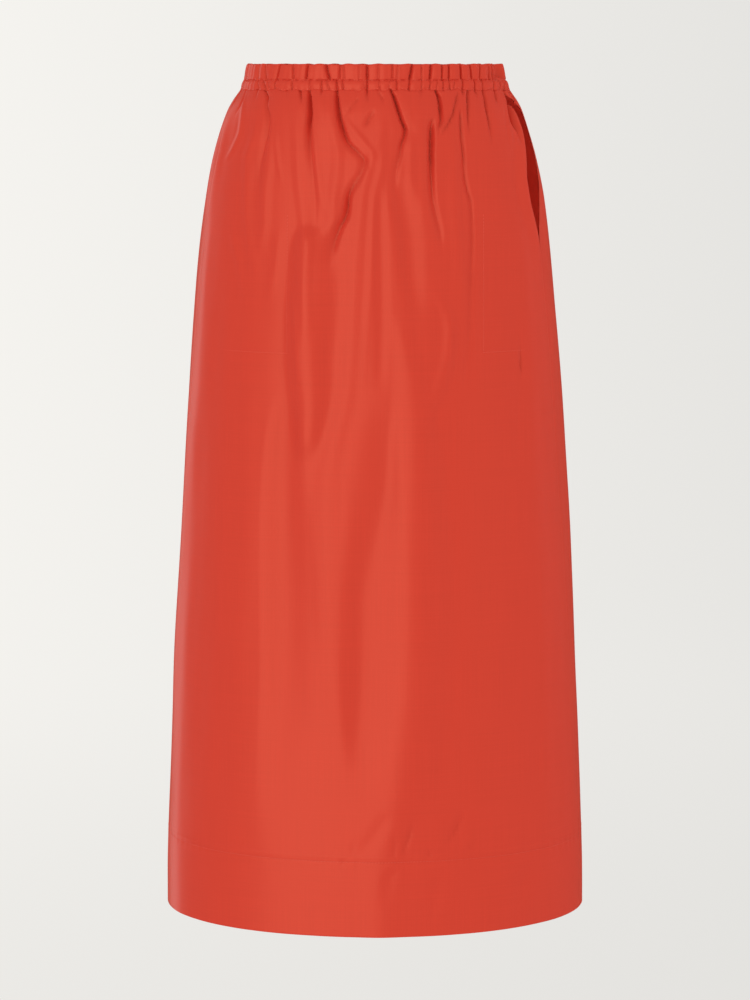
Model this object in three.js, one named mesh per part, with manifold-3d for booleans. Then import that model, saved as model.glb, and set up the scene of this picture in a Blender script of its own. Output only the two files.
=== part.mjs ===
// A midi skirt with a frilled elastic waist, pockets in the side seams and a deep turned-up hem.
// It hangs open and hollow, as it does when it is worn. Millimetres, +Z up, the front facing -Y.
// The origin is the middle of the waist, half-way down the elastic that grips it.
// Depths called "down" are measured from the top edge of the frill.
import * as THREE from 'three';
import { mergeVertices } from 'three/addons/utils/BufferGeometryUtils.js';
import Module from 'manifold-3d';

// ---- Driving dimensions ----
const LENGTH = 881;
const FRILL = 16;
const CASING = 10;
const HEM_TURN_UP = 77;
// Degrees that the panels hang turned, towards +X: the skirt sits a little round to its right.
const TURNED = -4;

const CLOTH = 1.2;
const SEAM_GAP = 0.32;
const FRILL_FOLD = 0.6;

const ELASTIC_THICKNESS = 1.0;
const ELASTIC_CLEARANCE = 0.3;

const BAG_LAYER = 1.0;
const BAG_SLIT = 0.6;
// How far past the side seam, as a share of the panel, the slit's cut is carried.
const SLIT_OVERRUN = 0.03;

const WAIST_SEAM = FRILL + CASING;
const ORIGIN_DOWN = FRILL + CASING / 2;
const HEM_STITCH = LENGTH - HEM_TURN_UP;
const PANEL_TOP = WAIST_SEAM + SEAM_GAP;
const TURNED_BY = THREE.MathUtils.degToRad(TURNED);

// ---- The tube of the skirt ----
// side: half the width. front, back: half depths before and behind the side line.
// seam: where the side seams run, in degrees round from the middle of the front panel.
const SECTIONS = [
  { down: 0, side: 132, front: 99, back: 100, seam: 75 },
  { down: 16, side: 135.5, front: 101.5, back: 103, seam: 74.5 },
  { down: 26, side: 139, front: 104, back: 106, seam: 74 },
  { down: 48, side: 152, front: 113, back: 117, seam: 72.5 },
  { down: 88, side: 166, front: 122, back: 128, seam: 71 },
  { down: 150, side: 177.5, front: 131, back: 139, seam: 71 },
  { down: 244, side: 187.5, front: 139, back: 146, seam: 73 },
  { down: 401, side: 198, front: 148.5, back: 154, seam: 76 },
  { down: 613, side: 210, front: 157, back: 162, seam: 80 },
  { down: 829, side: 220, front: 165, back: 168, seam: 83 },
  { down: 881, side: 220.5, front: 166, back: 169, seam: 84 },
];
const SECTION_COLUMNS = ['side', 'front', 'back', 'seam'];

// The largest folds. Each runs from one depth to another, is strongest at "peak", and moves
// across from x0 to x1. half: half its width. rise: how far it stands out, or in if negative.
const FRONT_FOLDS = [
  { from: 12, peak: 55, to: 215, x0: -109, x1: -118, half: 15, rise: -4 },
  { from: 60, peak: 140, to: 270, x0: -127, x1: -120, half: 15, rise: 3 },
  { from: 70, peak: 120, to: 300, x0: -97, x1: -110, half: 12, rise: 2.5 },
  { from: 12, peak: 60, to: 240, x0: -66, x1: -61, half: 13, rise: -6 },
  { from: 70, peak: 150, to: 330, x0: -77, x1: -64, half: 14, rise: 3.5 },
  { from: 12, peak: 60, to: 125, x0: -40, x1: -8, half: 13, rise: -6 },
  { from: 85, peak: 105, to: 220, x0: -8, x1: -40, half: 13, rise: -4 },
  { from: 75, peak: 180, to: 420, x0: 0, x1: -36, half: 20, rise: 4 },
  { from: 12, peak: 60, to: 300, x0: 20, x1: 32, half: 14, rise: -5.5 },
  { from: 60, peak: 150, to: 330, x0: 38, x1: 48, half: 14, rise: 3 },
  { from: 12, peak: 70, to: 240, x0: 63, x1: 64, half: 13, rise: -6 },
  { from: 70, peak: 150, to: 300, x0: 76, x1: 80, half: 13, rise: 3 },
  { from: 40, peak: 110, to: 320, x0: 86, x1: 98, half: 12, rise: -3 },
  { from: 12, peak: 50, to: 150, x0: 109, x1: 120, half: 13, rise: -4 },
  { from: 330, peak: 480, to: 760, x0: -46, x1: -42, half: 26, rise: 5 },
  { from: 220, peak: 400, to: 520, x0: 16, x1: 32, half: 26, rise: 4 },
  { from: 420, peak: 560, to: 800, x0: 32, x1: 4, half: 28, rise: 5 },
  { from: 285, peak: 480, to: 800, x0: -90, x1: -109, half: 17, rise: 3.5 },
  { from: 420, peak: 560, to: 790, x0: -76, x1: -88, half: 14, rise: -3 },
];
const BACK_FOLDS = [
  { from: 12, peak: 60, to: 190, x0: -112, x1: -122, half: 15, rise: -4 },
  { from: 12, peak: 70, to: 260, x0: -84, x1: -92, half: 14, rise: -5 },
  { from: 60, peak: 160, to: 330, x0: -69, x1: -74, half: 15, rise: 3.5 },
  { from: 12, peak: 60, to: 230, x0: -52, x1: -50, half: 13, rise: -6 },
  { from: 12, peak: 55, to: 160, x0: -21, x1: -30, half: 13, rise: -5 },
  { from: 80, peak: 190, to: 430, x0: -8, x1: -14, half: 20, rise: 4 },
  { from: 12, peak: 60, to: 280, x0: 12, x1: 20, half: 14, rise: -6 },
  { from: 12, peak: 60, to: 180, x0: 43, x1: 38, half: 13, rise: -5 },
  { from: 70, peak: 160, to: 340, x0: 56, x1: 60, half: 15, rise: 3.5 },
  { from: 12, peak: 70, to: 250, x0: 73, x1: 80, half: 14, rise: -5.5 },
  { from: 12, peak: 55, to: 170, x0: 104, x1: 114, half: 14, rise: -4.5 },
  { from: 260, peak: 450, to: 780, x0: 38, x1: 52, half: 26, rise: 5 },
  { from: 330, peak: 520, to: 800, x0: -34, x1: -22, half: 28, rise: 5 },
  { from: 300, peak: 500, to: 790, x0: -92, x1: -108, half: 18, rise: 3.5 },
];

// The small gathers of the elastic are uneven, because their waves drift in and out of step.
const GATHERS = [
  { waves: 23, phase: 0.6, share: 0.55 },
  { waves: 31, phase: 2.1, share: 0.45 },
];
// How far the gathers stand out and in: most at the frill's edge, gone a little below the casing.
const GATHER_DEPTHS = [
  { down: 0, rise: 2.2 },
  { down: FRILL, rise: 1.1 },
  { down: WAIST_SEAM, rise: 1.2 },
  { down: 75, rise: 0 },
];

// ---- Grids ----
const ROWS = [
  PANEL_TOP, 40, 56, 78, 106, 144, 190, 240, 295, 350, 420,
  500, 600, 700, HEM_STITCH - 1, HEM_STITCH, LENGTH,
];
const FRONT_COLUMNS = 40;
const BACK_COLUMNS = 36;
const BAND_COLUMNS = 84;

// Each pocket bag takes the front panel's outermost columns, and its rows down to this depth.
const BAG_BOTTOM = 295;
const BAG_COLUMNS = { left: 10, right: 14 };

// ---- Materials ----
function cloth() {
  return new THREE.MeshStandardMaterial({ color: 0xd44434, roughness: 0.72, metalness: 0 });
}

function elasticWebbing() {
  return new THREE.MeshStandardMaterial({ color: 0xf1eee8, roughness: 0.9, metalness: 0 });
}

// ---- The cloth's surface ----
const sections = new THREE.CubicInterpolant(
  SECTIONS.map((section) => section.down),
  SECTIONS.flatMap((section) => SECTION_COLUMNS.map((column) => section[column])),
  SECTION_COLUMNS.length,
);

function sectionAt(down) {
  const [side, front, back, seam] = sections.evaluate(down);
  return { side, front, back, seam: THREE.MathUtils.degToRad(seam) };
}

function foldRise(fold, x, down) {
  const { smoothstep, mapLinear } = THREE.MathUtils;
  const middle = mapLinear(down, fold.from, fold.to, fold.x0, fold.x1);
  const away = Math.abs(x - middle) / fold.half;
  if (away >= 1 || down < fold.from || down > fold.to) return 0;
  const grown = smoothstep(down, fold.from, fold.peak);
  const left = 1 - smoothstep(down, fold.peak, fold.to);
  return fold.rise * grown * left * (0.5 + 0.5 * Math.cos(Math.PI * away));
}

function gatherRise(turn, down) {
  const below = Math.max(1, GATHER_DEPTHS.findIndex((row) => row.down >= down));
  if (down >= GATHER_DEPTHS.at(-1).down) return 0;
  const [a, b] = [GATHER_DEPTHS[below - 1], GATHER_DEPTHS[below]];
  const depth = THREE.MathUtils.mapLinear(down, a.down, b.down, a.rise, b.rise);
  const wave = GATHERS.reduce((sum, g) => sum + g.share * Math.sin(g.waves * turn + g.phase), 0);
  return depth * wave;
}

// A point of the cloth. turn is the angle round from the middle of the front, towards +X, and
// inward is how far it lies inside the outer face, square to the plain tube.
function clothPoint(turn, down, inward = 0) {
  const { side, front, back } = sectionAt(down);
  const isFront = Math.cos(turn) > 0;
  const depth = isFront ? front : back;
  const x = side * Math.sin(turn);
  const y = -depth * Math.cos(turn);
  const outward = new THREE.Vector2(depth * Math.sin(turn), -side * Math.cos(turn)).normalize();
  const folds = isFront ? FRONT_FOLDS : BACK_FOLDS;
  const rise = folds.reduce((sum, fold) => sum + foldRise(fold, x, down), gatherRise(turn, down));
  const out = rise - inward;
  return new THREE.Vector3(x + outward.x * out, y + outward.y * out, ORIGIN_DOWN - down);
}

// How far round the front panel's columns lie, for shares from -1 to 1 across it.
function frontTurn(share, down) {
  return TURNED_BY + share * (sectionAt(down).seam - halfGapTurn(down));
}

function backTurn(share, down) {
  return TURNED_BY + Math.PI + share * (Math.PI - sectionAt(down).seam - halfGapTurn(down));
}

// Half the seam's gap, as an angle of the section's ellipse.
function halfGapTurn(down) {
  const { side, front, seam } = sectionAt(down);
  return SEAM_GAP / 2 / Math.hypot(side * Math.cos(seam), front * Math.sin(seam));
}

// ---- Bodies ----
function evenShares(columns) {
  return Array.from({ length: columns + 1 }, (_, i) => (2 * i) / columns - 1);
}

// A wall over a grid of the cloth, from outside to inside, which are depths into the cloth
// as functions of the depth down.
function wallGeometry(rows, shares, turnAt, outside, inside) {
  const width = shares.length;
  const faces = [outside, inside].map((inward) =>
    rows.flatMap((down) => shares.map((share) => clothPoint(turnAt(share, down), down, inward(down)))));
  const triangles = [];
  const quad = (a, b, c, d) => triangles.push(a, b, c, c, b, d);
  const back = rows.length * width;
  for (let j = 0; j + 1 < rows.length; j += 1) {
    for (let i = 0; i + 1 < width; i += 1) {
      const at = j * width + i;
      quad(at, at + width, at + 1, at + width + 1);
      quad(back + at, back + at + 1, back + at + width, back + at + width + 1);
    }
    const [first, last] = [j * width, j * width + width - 1];
    quad(back + first, back + first + width, first, first + width);
    quad(last, last + width, back + last, back + last + width);
  }
  const bottom = (rows.length - 1) * width;
  for (let i = 0; i + 1 < width; i += 1) {
    quad(back + i, i, back + i + 1, i + 1);
    quad(bottom + i, back + bottom + i, bottom + i + 1, back + bottom + i + 1);
  }
  return geometryOf(faces.flat(), triangles);
}

// A closed ring: one loop of points, named by their depth down and into the cloth, carried
// round the waist. All its faces are split from low here to high there, so that rings with the
// same columns lie evenly inside each other.
function ringGeometry(loop, columns) {
  const points = [];
  const triangles = [];
  for (let i = 0; i < columns; i += 1) {
    const turn = (2 * Math.PI * i) / columns;
    points.push(...loop.map(({ down, inward }) => clothPoint(turn, down, inward)));
    for (let k = 0; k < loop.length; k += 1) {
      const next = (k + 1) % loop.length;
      const [here, there] = [i * loop.length, ((i + 1) % columns) * loop.length];
      const [a, b, c, d] = [here + k, there + k, here + next, there + next];
      const climbs = loop[next].down < loop[k].down;
      triangles.push(...(climbs ? [a, b, d, a, d, c] : [a, b, c, c, b, d]));
    }
  }
  return geometryOf(points, triangles);
}

function geometryOf(points, triangles) {
  const geometry = new THREE.BufferGeometry();
  const positions = points.flatMap((p) => [p.x, p.y, p.z]);
  geometry.setAttribute('position', new THREE.Float32BufferAttribute(positions, 3));
  geometry.setIndex(triangles);
  return geometry;
}

function piece(name, geometry, material) {
  geometry.computeVertexNormals();
  const mesh = new THREE.Mesh(geometry, material);
  mesh.name = name;
  return mesh;
}

// ---- Cutting one solid with another ----
const wasm = await Module();
wasm.setup();

function manifoldOf(geometry) {
  const merged = mergeVertices(geometry);
  return new wasm.Manifold(new wasm.Mesh({
    numProp: 3,
    vertProperties: merged.attributes.position.array,
    triVerts: new Uint32Array(merged.index.array),
  }));
}

function subtract(geometry, cutter) {
  const { vertProperties, triVerts } = manifoldOf(geometry).subtract(manifoldOf(cutter)).getMesh();
  const cut = new THREE.BufferGeometry();
  cut.setAttribute('position', new THREE.BufferAttribute(vertProperties, 3));
  cut.setIndex(Array.from(triVerts));
  return cut;
}

// ---- The pieces ----
// The turned-up hem lies against the panel inside, so the wall is two layers thick there.
function panelInside(down) {
  return down >= HEM_STITCH ? 2 * CLOTH : CLOTH;
}

function frontPanel() {
  const shares = evenShares(FRONT_COLUMNS);
  return piece('front_panel', wallGeometry(ROWS, shares, frontTurn, () => 0, panelInside), cloth());
}

function backPanel() {
  const shares = evenShares(BACK_COLUMNS);
  return piece('back_panel', wallGeometry(ROWS, shares, backTurn, () => 0, panelInside), cloth());
}

// The waistband is one strip folded over at the top. Its two layers lie together in the frill
// and part below it, open downwards, to make the casing that the elastic runs in.
function waistband() {
  const frillBack = 2 * CLOTH;
  const casingBack = 2 * CLOTH + ELASTIC_THICKNESS + 2 * ELASTIC_CLEARANCE;
  const loop = [
    { down: WAIST_SEAM, inward: 0 },
    { down: FRILL, inward: 0 },
    { down: FRILL_FOLD, inward: 0 },
    { down: 0, inward: FRILL_FOLD },
    { down: 0, inward: frillBack - FRILL_FOLD },
    { down: FRILL_FOLD, inward: frillBack },
    { down: FRILL - CLOTH, inward: frillBack },
    { down: FRILL, inward: casingBack },
    { down: WAIST_SEAM, inward: casingBack },
    { down: WAIST_SEAM, inward: casingBack - CLOTH },
    { down: FRILL, inward: casingBack - CLOTH },
    { down: FRILL, inward: CLOTH },
    { down: WAIST_SEAM, inward: CLOTH },
  ];
  return piece('waistband', ringGeometry(loop, BAND_COLUMNS), cloth());
}

function elastic() {
  const outside = CLOTH + ELASTIC_CLEARANCE;
  const inside = outside + ELASTIC_THICKNESS;
  const [top, bottom] = [FRILL + ELASTIC_CLEARANCE, WAIST_SEAM - ELASTIC_CLEARANCE];
  const loop = [
    { down: bottom, inward: outside },
    { down: top, inward: outside },
    { down: top, inward: inside },
    { down: bottom, inward: inside },
  ];
  return piece('elastic', ringGeometry(loop, BAND_COLUMNS), elasticWebbing());
}

// A pocket bag hangs flat and shut behind the front panel. Its two layers part in a slit that
// is open along the side seam, where the hand goes in, and at the waist, where it is sewn in.
function pocketBag(name, side, columns) {
  const shares = evenShares(FRONT_COLUMNS).slice(-columns - 1).map((share) => share * side);
  const outside = CLOTH + SEAM_GAP;
  const slit = outside + BAG_LAYER;
  const inside = slit + BAG_SLIT + BAG_LAYER;
  const rows = ROWS.filter((down) => down <= BAG_BOTTOM);
  const slitShares = [...shares.slice(1), side * (1 + SLIT_OVERRUN)];
  const slitRows = [PANEL_TOP - BAG_LAYER, ...rows.slice(0, -1)];
  const inOrder = (list) => (side > 0 ? list : list.toReversed());
  const bag = wallGeometry(rows, inOrder(shares), frontTurn, () => outside, () => inside);
  const gap = wallGeometry(slitRows, inOrder(slitShares), frontTurn, () => slit, () => slit + BAG_SLIT);
  return piece(name, subtract(bag, gap), cloth());
}

const skirt = new THREE.Group();
skirt.add(
  frontPanel(),
  backPanel(),
  waistband(),
  elastic(),
  pocketBag('pocket_bag_left', 1, BAG_COLUMNS.left),
  pocketBag('pocket_bag_right', -1, BAG_COLUMNS.right),
);

export default skirt;
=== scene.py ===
"""The looks of a midi skirt with a frilled elastic waist, side-seam pockets and a deep hem.

Lengths in the tables are millimetres and angles are degrees. "down" is the depth below the top
edge of the frill. "turn" is the angle round the skirt from the middle of the front, towards +X.
"across" is how far to the right something lies, seen square on from the side named with it.
"""

import math

import bpy
import numpy as np
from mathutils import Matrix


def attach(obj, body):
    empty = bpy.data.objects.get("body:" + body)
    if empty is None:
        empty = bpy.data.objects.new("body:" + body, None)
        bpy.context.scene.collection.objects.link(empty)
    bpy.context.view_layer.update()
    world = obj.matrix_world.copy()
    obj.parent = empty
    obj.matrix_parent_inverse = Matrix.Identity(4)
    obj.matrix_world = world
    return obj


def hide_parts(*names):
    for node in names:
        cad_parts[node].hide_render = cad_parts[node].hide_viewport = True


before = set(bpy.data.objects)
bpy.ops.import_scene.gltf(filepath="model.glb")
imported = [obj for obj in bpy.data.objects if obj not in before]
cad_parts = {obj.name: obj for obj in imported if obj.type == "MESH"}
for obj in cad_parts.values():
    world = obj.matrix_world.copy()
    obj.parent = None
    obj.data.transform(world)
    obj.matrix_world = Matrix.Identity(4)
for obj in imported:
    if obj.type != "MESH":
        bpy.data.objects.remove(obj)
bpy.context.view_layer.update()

MM = 0.001

# ---- Driving sizes, as in the part ----
LENGTH = 881
FRILL = 16
WAIST_SEAM = 26
HEM_STITCH = 804
ORIGIN_DOWN = 21
# The panels are turned a little about the upright axis, so the seams aren't even at the sides.
TURNED = math.radians(-4)

CLOTH = 0.35
HEM_THICKNESS = 1.1
# How far apart the front and back panels lie down each side seam.
SEAM_GAP = 0.08
# Radii that the cuts' lengths round the skirt are laid out with, for the weave.
WAIST_RADIUS = 124
HIP_RADIUS = 160

# side: half the width. front, back: half depths. seam: turn of the side seams from the middle
# of the front panel.
SECTIONS = np.array([
    # down, side, front, back, seam
    (0, 132, 99, 100, 75),
    (16, 135.5, 101.5, 103, 74.5),
    (26, 139, 104, 106, 74),
    (48, 152, 113, 117, 72.5),
    (88, 166, 122, 128, 71),
    (150, 177.5, 131, 139, 71),
    (244, 187.5, 139, 146, 73),
    (401, 198, 148.5, 154, 76),
    (613, 210, 157, 162, 80),
    (829, 220, 165, 168, 83),
    (881, 220.5, 166, 169, 84),
])

FACINGS = {"front": 0, "left": 90, "back": 180, "right": 270}

# ---- Creases and folds of the panels ----
# Each is a line of stations down the cloth: down, across, rise, half width. A negative rise
# goes in. A crease is keen, with a sharp bottom; a fold is round.
CREASES = {
    "front": [
        [(26, -132, -1.5, 4), (33, -133, -2.5, 4), (42, -137, -1.5, 4), (55, -143, 0, 4)],
        [(26, -120, -2.5, 3), (32, -120.5, -1.5, 3), (38, -121, 0, 3)],
        [(26, -112, -4, 3.5), (34, -109, -4.5, 4.5), (42, -110, -3, 6), (54, -108, -3, 8),
         (68, -109, -3, 9), (82, -112, -2.4, 10), (108, -117, -1.6, 11), (140, -118, 0, 11)],
        [(26, -89, -1.5, 3), (36, -88, 0, 3)],
        [(26, -75.5, -4, 2.5), (34, -74.5, -3, 2.8), (42, -74, 0, 2.5)],
        [(26, -66.5, -4, 3), (34, -66, -6.5, 4.5), (48, -65.5, -7, 5.5), (62, -66.5, -6, 6),
         (76, -66, -4, 7), (95, -64, -2.5, 8), (115, -62, -1.6, 9), (150, -60, -1.2, 9), (175, -62, 0, 9)],
        [(26, -54, -3, 2.2), (34, -54, 0, 2.2)],
        [(26, -38.5, -4.5, 3.5), (36, -38, -6.5, 4.5), (48, -36.8, -6.5, 5), (62, -33.5, -6, 6),
         (78, -27, -4.5, 7), (88, -17, -3.5, 9), (97, -9, -2.5, 8), (106, -6, 0, 8)],
        [(88, -12, 0, 8), (100, -11, -2.2, 8), (110, -14, -2.6, 8), (122, -22, -3.5, 7),
         (131, -26, -5, 6.5), (149, -28.5, -5.5, 7.5), (160, -34, -5, 9), (174, -40, -4.2, 12),
         (190, -44, -2.2, 14), (205, -46, 0, 14)],
        [(32, -15, 0, 3), (36, -18, -1.6, 3), (44, -24, -1.6, 3.5), (52, -30, 0, 3)],
        [(45, 0, 0, 4), (50, -3, -2.2, 4), (57, -7, -2.2, 4.5), (64, -11, 0, 4)],
        [(26, -8, -4, 2.5), (33, -7.5, -2.2, 3), (40, -7, 0, 3)],
        [(26, 3, -1.5, 3), (33, 7, -2.2, 4), (42, 9.5, 0, 4)],
        [(26, 16.5, -4.5, 3), (33, 19.5, -6, 4), (45, 23.5, -6.5, 4.5), (57, 27.5, -6, 4.5),
         (66, 31, -5.5, 5), (72, 30, -4.5, 5), (80, 27, -4, 5.5), (90, 25.5, -3, 7), (104, 21.5, -2.5, 8),
         (120, 20, -1.2, 8), (131, 19.5, 0, 8)],
        [(26, 47, -2, 3), (36, 45, 0, 3)],
        [(26, 62, -4.5, 3), (33, 65, -6, 4.5), (45, 67, -6, 5), (55, 67.5, -4.5, 5), (66, 65, -2, 5),
         (74, 64, 0, 5)],
        [(50, 60, 0, 6), (60, 58, -4, 7), (72, 58, -6, 7), (90, 57.5, -6, 6.5), (105, 57.5, -5, 7),
         (131, 58.5, -3.5, 8), (152, 62.5, -2.8, 8), (170, 66.5, -2, 8), (190, 67, 0, 8)],
        [(28, 84, -1, 2), (34, 82.5, -2.6, 2.6), (49, 79, -2.8, 3), (60, 74, -2.2, 3), (70, 67, -1, 3),
         (75, 63, 0, 3)],
        [(40, 86, 0, 4), (52, 87, -3, 4), (68, 88, -3.8, 4.5), (90, 90, -3.6, 5), (110, 91, -3, 5.5),
         (127, 94, -3, 5.5), (137, 97.5, -2.5, 6), (156, 98.5, -2.2, 7), (172, 99, -2.2, 8),
         (197, 98.5, -2.2, 8), (234, 97, -1.8, 9), (272, 96, -1.5, 9), (304, 92, -1, 9), (330, 90, 0, 9)],
        [(26, 94.5, -3.5, 2.2), (33, 94, -4, 2.8), (50, 94.5, -3.2, 3), (62, 95, -2, 3), (74, 95.5, 0, 3)],
        [(26, 89, -3.5, 2.2), (34, 89, 0, 2.2)],
        [(26, 102, -3.5, 2.2), (35, 103, 0, 2.2)],
        [(26, 110, -4, 2.8), (34, 111.5, -4.6, 3.2), (45, 113.5, -4.8, 3.5), (58, 116.5, -3.6, 4),
         (72, 118, -1.5, 4.5), (84, 118.5, 0, 4.5)],
        [(26, 122, -3.5, 2.2), (36, 123, -2, 2.5), (43, 124, 0, 2.5)],
        [(27, 132.5, -5, 3), (36, 136.5, -9, 5.5), (46, 139.5, -10.5, 7.5), (58, 142.5, -8.5, 8),
         (68, 145.5, -3.5, 8), (78, 147.5, -1.5, 7), (86, 149, 0, 6)],
        # The end of the pocket's stitching.
        [(276, 149, 0, 3), (290, 149.5, -1.2, 3), (306, 149, -1.8, 3), (314, 147.5, 0, 4)],
        # Puckers at the hem's stitches.
        [(752, 91, 0, 6), (764, 88, -1.9, 8), (778, 80, -2.1, 8), (792, 71, 0, 6)],
        [(760, 39, 0, 4), (773, 36, -1.7, 5), (788, 31, -1.7, 5), (800, 27, 0, 4)],
        [(776, 20, 0, 3), (785, 20.5, -1.3, 3.5), (795, 19, -1.2, 3.5), (803, 18, 0, 3)],
        [(798, -33.5, 0, 2.5), (804, -33.5, -1.1, 2.5), (812, -34, 0, 2.5)],
        [(790, 34, 0, 3), (796, 33, -1, 3), (803, 31, 0, 3)],
        [(788, 60, 0, 3), (797, 56, -1.2, 3.5), (804, 54, 0, 3)],
        [(786, 100, 0, 3.5), (792, 97, -1, 3.5), (803, 91, 0, 3)],
        [(778, -19, 0, 4), (790, -22, -0.9, 4), (803, -24, 0, 3)],
    ],
    "back": [
        [(26, -128, -3, 3), (36, -130, -3, 4), (54, -134, 0, 4)],
        [(26, -113, -4, 3), (38, -115, -5, 4.5), (60, -118, -4, 6), (100, -121, -2, 8), (150, -122, 0, 9)],
        [(26, -101, -3, 2.5), (36, -101, 0, 2.5)],
        [(26, -85, -4, 3), (38, -85, -6.5, 4.5), (60, -86, -5.5, 6), (95, -89, -3, 8), (150, -92, -1.6, 9),
         (230, -94, 0, 9)],
        [(26, -72, -3, 2.5), (40, -71, 0, 2.5)],
        [(26, -52, -4.5, 3), (38, -51, -6, 4.5), (58, -48, -6, 6), (80, -44, -4, 7), (110, -46, -2.6, 8),
         (170, -52, 0, 8)],
        [(26, -37, -3, 2.5), (36, -36, 0, 2.5)],
        [(26, -22, -4, 3), (38, -23, -5.5, 4), (56, -27, -4, 5), (80, -31, -1.5, 6), (110, -32, 0, 6)],
        [(26, -6, -2.5, 3), (40, -4, 0, 3)],
        [(26, 11, -4.5, 3), (38, 13, -6.5, 4.5), (60, 16, -6, 6), (95, 14, -4, 7), (140, 16, -2.5, 8),
         (200, 20, -1.5, 9), (260, 22, 0, 9)],
        [(26, 29, -3, 2.5), (38, 30, 0, 2.5)],
        [(26, 43, -4, 3), (38, 43, -5, 4), (60, 41, -3.5, 5), (90, 38, -1.5, 6), (130, 38, 0, 6)],
        [(26, 57, -2.5, 2.5), (36, 58, 0, 2.5)],
        [(26, 73, -4, 3), (38, 74, -6.5, 4.5), (62, 76, -6, 6), (100, 79, -3.5, 7), (150, 82, -2, 9),
         (230, 84, 0, 9)],
        [(26, 90, -3, 2.5), (40, 91, 0, 2.5)],
        [(26, 103, -4, 3), (40, 105, -5, 4), (62, 109, -3.5, 5), (100, 113, -1.5, 7), (150, 115, 0, 7)],
        [(26, 119, -3, 2.5), (38, 121, 0, 2.5)],
        [(26, 129, -3, 3), (40, 133, -3.5, 4), (60, 139, 0, 4)],
    ],
    "left": [
        [(26, -18, -3, 3), (40, -19, -3, 4), (58, -20, 0, 4)],
        [(26, -4, -3, 2.5), (36, -4, 0, 2.5)],
        [(26, 12, -4, 3), (38, 13, -5, 4), (60, 15, -3.5, 6), (110, 18, 0, 8)],
        [(26, 30, -3, 2.5), (40, 31, 0, 2.5)],
        [(26, 46, -4, 3), (38, 48, -4, 4), (66, 52, 0, 5)],
    ],
    "right": [
        [(26, -44, -4, 3), (38, -46, -4.5, 4), (64, -50, 0, 5)],
        [(26, -30, -3, 2.5), (38, -30, 0, 2.5)],
        [(26, -15, -4, 3), (38, -16, -5, 4), (62, -19, -3, 6), (100, -22, 0, 8)],
        [(26, 3, -3, 2.5), (36, 3, 0, 2.5)],
        [(26, 17, -3, 3), (40, 18, -3, 4), (58, 20, 0, 4)],
    ],
}
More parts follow.
